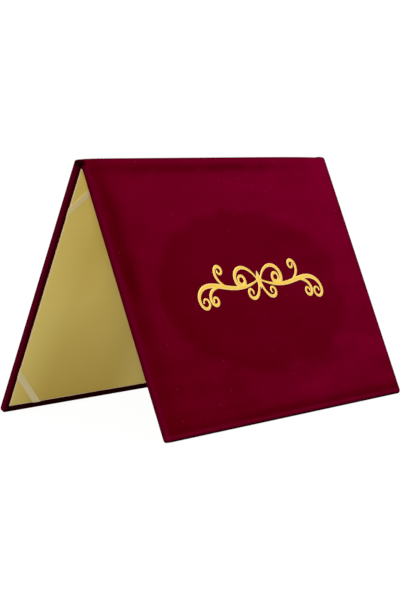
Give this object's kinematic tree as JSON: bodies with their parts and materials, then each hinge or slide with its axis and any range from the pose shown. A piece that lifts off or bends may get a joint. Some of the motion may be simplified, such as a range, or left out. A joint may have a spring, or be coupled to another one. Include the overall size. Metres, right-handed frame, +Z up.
{
  "type": "certificate holder",
  "caption": "Padded velvet folder for a certificate, stood open as a tent: two covers hinged on a narrow spine, gold paper lining with corner ribbons, foil flourish.",
  "frame": {"origin": "on the table, under the middle of the spine, at the centre of the tent's footprint", "axes": "+X along the spine, with the front cover's left edge at -X; the front cover faces -Y and the back cover +Y; +Z up from the table"},
  "size_m": [0.315, 0.1946, 0.2144],
  "materials": {
    "velvet": "deep crimson velvet with a short brushed nap",
    "foam": "thin soft padding",
    "greyboard": "raw grey board",
    "white_card": "smooth pale card",
    "gold_paper": "satin gold paper",
    "satin_ribbon": "thin ivory satin",
    "gold_foil": "bright stamped gold foil"
  },
  "bodies": {
    "back_cover": {"back_velvet": "velvet", "back_pad": "foam", "back_board": "greyboard", "back_hinge_cloth": "velvet", "back_lining_card": "white_card", "back_lining": "gold_paper", "ribbon_top_left": "satin_ribbon", "ribbon_top_right": "satin_ribbon", "ribbon_bottom_left": "satin_ribbon", "ribbon_bottom_right": "satin_ribbon"},
    "spine": {"spine_velvet": "velvet", "spine_strip": "greyboard", "spine_hinge_cloth": "velvet"},
    "front_cover": {"front_velvet": "velvet", "front_pad": "foam", "front_board": "greyboard", "front_hinge_cloth": "velvet", "front_lining_card": "white_card", "front_lining": "gold_paper", "foil_ornament": "gold_foil"}
  },
  "joints": [
    {"name": "back_fold", "type": "hinge", "parent": "back_cover", "child": "spine", "pos_m": [0, 0.00565, 0.21442], "axis": [1, 0, 0], "range_deg": [-66.6, 23.4]},
    {"name": "front_fold", "type": "hinge", "parent": "spine", "child": "front_cover", "pos_m": [0, -0.00565, 0.21442], "axis": [1, 0, 0], "range_deg": [-66.6, 23.4]}
  ],
  "couplings": [
    {"joint": "front_fold", "follows": "back_fold", "ratio": 1}
  ]
}
